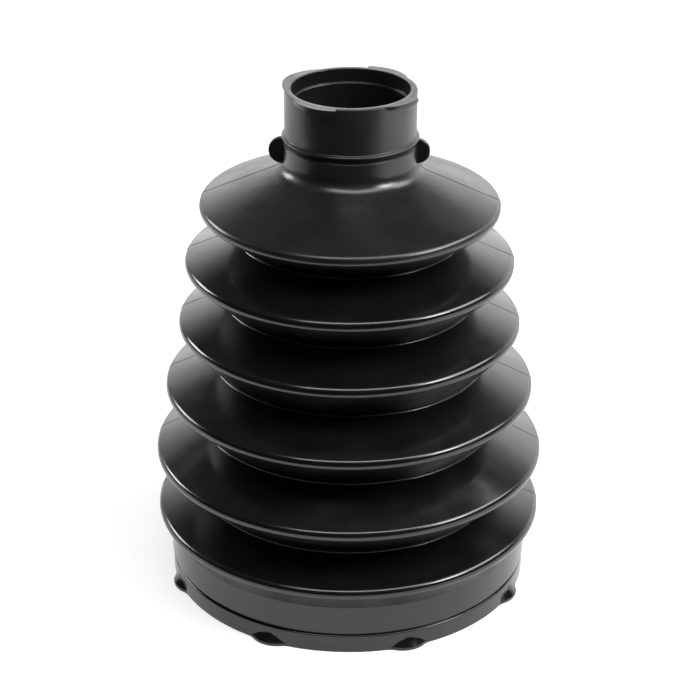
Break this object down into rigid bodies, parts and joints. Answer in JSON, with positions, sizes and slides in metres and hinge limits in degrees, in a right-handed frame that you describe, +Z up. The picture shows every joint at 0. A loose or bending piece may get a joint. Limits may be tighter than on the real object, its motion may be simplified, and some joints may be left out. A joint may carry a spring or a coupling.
{
  "type": "rubber bellows boot",
  "caption": "Tapered convoluted rubber boot that seals a drive-shaft joint, with a wide clamped collar at its foot and a narrow clamped neck for the shaft.",
  "frame": {"origin": "on the boot's axis, in the flat face of the large end, which it stands on", "axes": "+Z up the boot's axis from the large end to the neck; +X towards the right-hand ear, within 2.5 degrees of the plane where the mould parts"},
  "size_m": [0.0864, 0.0864, 0.114],
  "materials": {
    "moulded_rubber": "smooth, glossy black thermoplastic rubber straight from a polished mould, with a fine raised line where the mould parts"
  },
  "bodies": {
    "root": {"bellows_boot": "moulded_rubber"}
  },
  "joints": []
}
